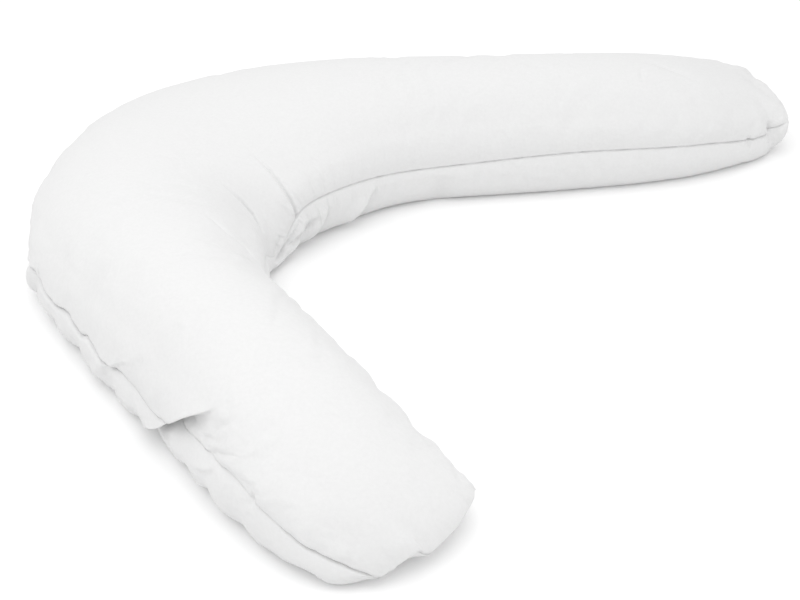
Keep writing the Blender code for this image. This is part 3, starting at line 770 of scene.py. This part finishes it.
# press in the tuck and the folds, stitch the seam and add the waves
along, across, low = read_marks(mesh)
lapped, lift = draw_tuck(along, across, low)[1:]
mesh.normal_update()
points = np.array([vert.co[:] for vert in mesh.verts])
normals = np.array([vert.normal[:] for vert in mesh.verts])
rim = on_rim(along, across)
push = push_directions(points, normals, rim, low)
lift += press_folds(points, normals, BROAD_FOLDS + FINE_FOLDS)
seam_draw, seam_rise = stitch_seam(points, along, across, low, rim)
lift -= seam_draw
top_waves, low_waves = [read_waves(grid, along, across) for grid in simulate_wrinkles()]
from_crook = (along - CROOK_ALONG) / PRESSED_ALONG
from_seam = (across + 1) / PRESSED_ACROSS
pressed = np.exp(-from_crook**2 - from_seam**2)
lift += (1 - pressed) * np.where(low, low_waves, top_waves)
points = lay_cloth(lapped, across, low) + push * lift[:, None]
points[:, 2] += seam_rise
points[points[:, 2] < FLOOR_LEVEL, 2] = 0.0
move_points(mesh, points)

# round off the lips of the large tuck
fullness = read_rows(TUCK, TUCK_COLUMNS, "fullness", np.where(low, 2 - across, across))
at_lips = (np.abs(along - TUCK_ALONG) < LIP_HEMS * TUCK_HEM) & (fullness > LIP_FULLNESS)
lips = [vert for vert, at_lip in zip(mesh.verts, at_lips) if at_lip and vert.co.z > FLOOR_LEVEL]
for _ in range(LIP_ROUNDS):
    bmesh.ops.smooth_vert(mesh, verts=lips, factor=LIP_FACTOR,
                          use_axis_x=True, use_axis_y=True, use_axis_z=True)

# the flat base needs no rows of its own
base_faces = [face for face in mesh.faces if all(vert.co.z == 0.0 for vert in face.verts)]
base_verts = list(dict.fromkeys(vert for face in base_faces for vert in face.verts))
base_edges = list(dict.fromkeys(edge for face in base_faces for edge in face.edges))
bmesh.ops.dissolve_limit(mesh, angle_limit=math.radians(FLAT_ANGLE),
                         verts=base_verts, edges=base_edges)

# the cloth's own map, in metres along and round the pillow
weave_map = mesh.loops.layers.uv.new("weave")
along_mark, across_mark = (mesh.verts.layers.float[name] for name in ("along", "across"))
for face in mesh.faces:
    for loop in face.loops:
        loop[weave_map].uv = (loop.vert[along_mark], loop.vert[across_mark] * AROUND_SCALE)

pillow_data = bpy.data.meshes.new("cotton_pillow")
for name in MARKS:
    mesh.verts.layers.float.remove(mesh.verts.layers.float[name])
mesh.to_mesh(pillow_data)
mesh.free()
pillow_data.shade_smooth()
pillow = bpy.data.objects.new("cotton_pillow", pillow_data)
bpy.context.scene.collection.objects.link(pillow)

# ---- white cotton: a plain weave of slightly uneven threads, matt with a faint bloom.  The
# cloth lies softly uneven over the filling under it.
COTTON_COLOURS = ((0.692, 0.692, 0.692, 1.0), (0.714, 0.714, 0.714, 1.0))   # thin and dense
COTTON_CHANGE = (0.3, 0.7)          # the creping over which one colour turns into the other
COTTON_ROUGHNESS = (0.80, 0.94)     # it changes with the warp's threads
COTTON_SHEEN = 0.06
THREAD_PITCH = 0.0010               # two threads, one over and one under
THREAD_HEIGHT = 0.000025            # how high each thread stands where it passes over
# place: the map that the unevenness follows; scale: how many patches there are to a metre,
# along each of its directions; detail and fall: how many finer layers it has, and how strong
# each is; height: how high the cloth stands there, metres.
Unevenness = namedtuple("Unevenness", "name place scale detail fall height")
UNEVEN = (
    Unevenness("filling", "Object", (22.0, 22.0, 22.0), 2.0, 0.45, 0.00140),
    Unevenness("rumples", "Object", (55.0, 90.0, 70.0), 2.0, 0.50, 0.00040),
    Unevenness("creping", "Object", (210.0, 210.0, 210.0), 3.0, 0.60, 0.00010),
    Unevenness("warp", "UV", (45.0, 1500.0, 1.0), 1.0, 0.50, 0.00005),
    Unevenness("weft", "UV", (1500.0, 45.0, 1.0), 1.0, 0.50, 0.00005),
)

cotton = bpy.data.materials.new("white_cotton")
cotton.use_nodes = True
nodes, links = cotton.node_tree.nodes, cotton.node_tree.links
shader = nodes["Principled BSDF"]
shader.inputs["Sheen Weight"].default_value = COTTON_SHEEN


def wave_node(direction):
    """A wave as long as two threads, across the map's given direction."""
    turns = nodes.new("ShaderNodeMath")
    turns.operation = "MULTIPLY"
    turns.inputs[1].default_value = 2 * math.pi / THREAD_PITCH
    links.new(split.outputs[direction], turns.inputs[0])
    wave = nodes.new("ShaderNodeMath")
    wave.operation = "SINE"
    links.new(turns.outputs[0], wave.inputs[0])
    return wave


def raise_cloth(height_socket, height, under):
    """Let the cloth stand up by this height, on top of what's under it."""
    bump = nodes.new("ShaderNodeBump")
    bump.inputs["Distance"].default_value = height
    links.new(height_socket, bump.inputs["Height"])
    if under:
        links.new(under.outputs["Normal"], bump.inputs["Normal"])
    return bump


weave_place = nodes.new("ShaderNodeUVMap")
weave_place.uv_map = "weave"
object_place = nodes.new("ShaderNodeTexCoord")
places = {"UV": weave_place.outputs["UV"], "Object": object_place.outputs["Object"]}
surface = None
noises = {}
for layer in UNEVEN:
    stretch = nodes.new("ShaderNodeMapping")
    stretch.inputs["Scale"].default_value = layer.scale
    links.new(places[layer.place], stretch.inputs["Vector"])
    noise = nodes.new("ShaderNodeTexNoise")
    noise.inputs["Scale"].default_value = 1.0
    noise.inputs["Detail"].default_value = layer.detail
    noise.inputs["Roughness"].default_value = layer.fall
    links.new(stretch.outputs["Vector"], noise.inputs["Vector"])
    noises[layer.name] = noise
    surface = raise_cloth(noise.outputs["Fac"], layer.height, surface)

split = nodes.new("ShaderNodeSeparateXYZ")
links.new(weave_place.outputs["UV"], split.inputs["Vector"])
weave = nodes.new("ShaderNodeMath")
weave.operation = "MULTIPLY"
links.new(wave_node("X").outputs[0], weave.inputs[0])
links.new(wave_node("Y").outputs[0], weave.inputs[1])
surface = raise_cloth(weave.outputs[0], THREAD_HEIGHT, surface)
links.new(surface.outputs["Normal"], shader.inputs["Normal"])

tint = nodes.new("ShaderNodeValToRGB")
for element, position, colour in zip(tint.color_ramp.elements, COTTON_CHANGE, COTTON_COLOURS):
    element.position = position
    element.color = colour
links.new(noises["creping"].outputs["Fac"], tint.inputs["Fac"])
links.new(tint.outputs["Color"], shader.inputs["Base Color"])
rough = nodes.new("ShaderNodeMapRange")
rough.inputs["To Min"].default_value = COTTON_ROUGHNESS[0]
rough.inputs["To Max"].default_value = COTTON_ROUGHNESS[1]
links.new(noises["warp"].outputs["Fac"], rough.inputs["Value"])
links.new(rough.outputs["Result"], shader.inputs["Roughness"])
pillow_data.materials.append(cotton)

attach(pillow, "root")
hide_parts("body_pillow")

# ==================================================================== floor and light
# A plain white studio floor, under an even white sky, one large soft lamp overhead and
# smaller ones in front and at both sides.
WHITE = (1.0, 1.0, 1.0, 1.0)
FLOOR_SIZE = 30.0
FLOOR_COLOUR = (0.88, 0.88, 0.88, 1.0)
FLOOR_ROUGHNESS = 1.0
FLOOR_GLOW = 0.05
SKY_STRENGTH = 0.90
Lamp = namedtuple("Lamp", "name size power place aim")      # metres and watts
LAMPS = (
    Lamp("overhead_lamp", 4.0, 36.5, Vector((-0.30, 0.15, 3.20)), Vector((-0.05, 0.00, 0.0))),
    Lamp("front_lamp", 1.2, 3.0, Vector((-0.20, -1.20, 1.30)), Vector((-0.28, -0.25, 0.0))),
    Lamp("left_lamp", 1.2, 3.4, Vector((-1.60, -0.30, 1.40)), Vector((-0.40, -0.05, 0.0))),
    Lamp("right_lamp", 1.2, 2.4, Vector((1.50, -0.70, 1.20)), Vector((0.25, 0.00, 0.0))),
)

floor_mesh = bmesh.new()
bmesh.ops.create_grid(floor_mesh, x_segments=1, y_segments=1, size=FLOOR_SIZE / 2)
floor_data = bpy.data.meshes.new("floor")
floor_mesh.to_mesh(floor_data)
floor_mesh.free()
floor = bpy.data.objects.new("floor", floor_data)
bpy.context.scene.collection.objects.link(floor)
floor_paint = bpy.data.materials.new("floor_paint")
floor_paint.use_nodes = True
paint = floor_paint.node_tree.nodes["Principled BSDF"]
paint.inputs["Base Color"].default_value = FLOOR_COLOUR
paint.inputs["Roughness"].default_value = FLOOR_ROUGHNESS
paint.inputs["Emission Color"].default_value = WHITE
paint.inputs["Emission Strength"].default_value = FLOOR_GLOW
floor_data.materials.append(floor_paint)

sky = bpy.data.worlds.new("sky")
sky.use_nodes = True
background = sky.node_tree.nodes["Background"]
background.inputs["Color"].default_value = WHITE
background.inputs["Strength"].default_value = SKY_STRENGTH
bpy.context.scene.world = sky

for lamp in LAMPS:
    lamp_data = bpy.data.lights.new(lamp.name, "AREA")
    lamp_data.size = lamp.size
    lamp_data.energy = lamp.power
    light = bpy.data.objects.new(lamp.name, lamp_data)
    bpy.context.scene.collection.objects.link(light)
    light.location = lamp.place
    light.rotation_euler = (lamp.aim - lamp.place).to_track_quat("-Z", "Y").to_euler()
bpy.context.scene.view_settings.view_transform = "Standard"

# ==================================================================== the end
bpy.context.view_layer.update()
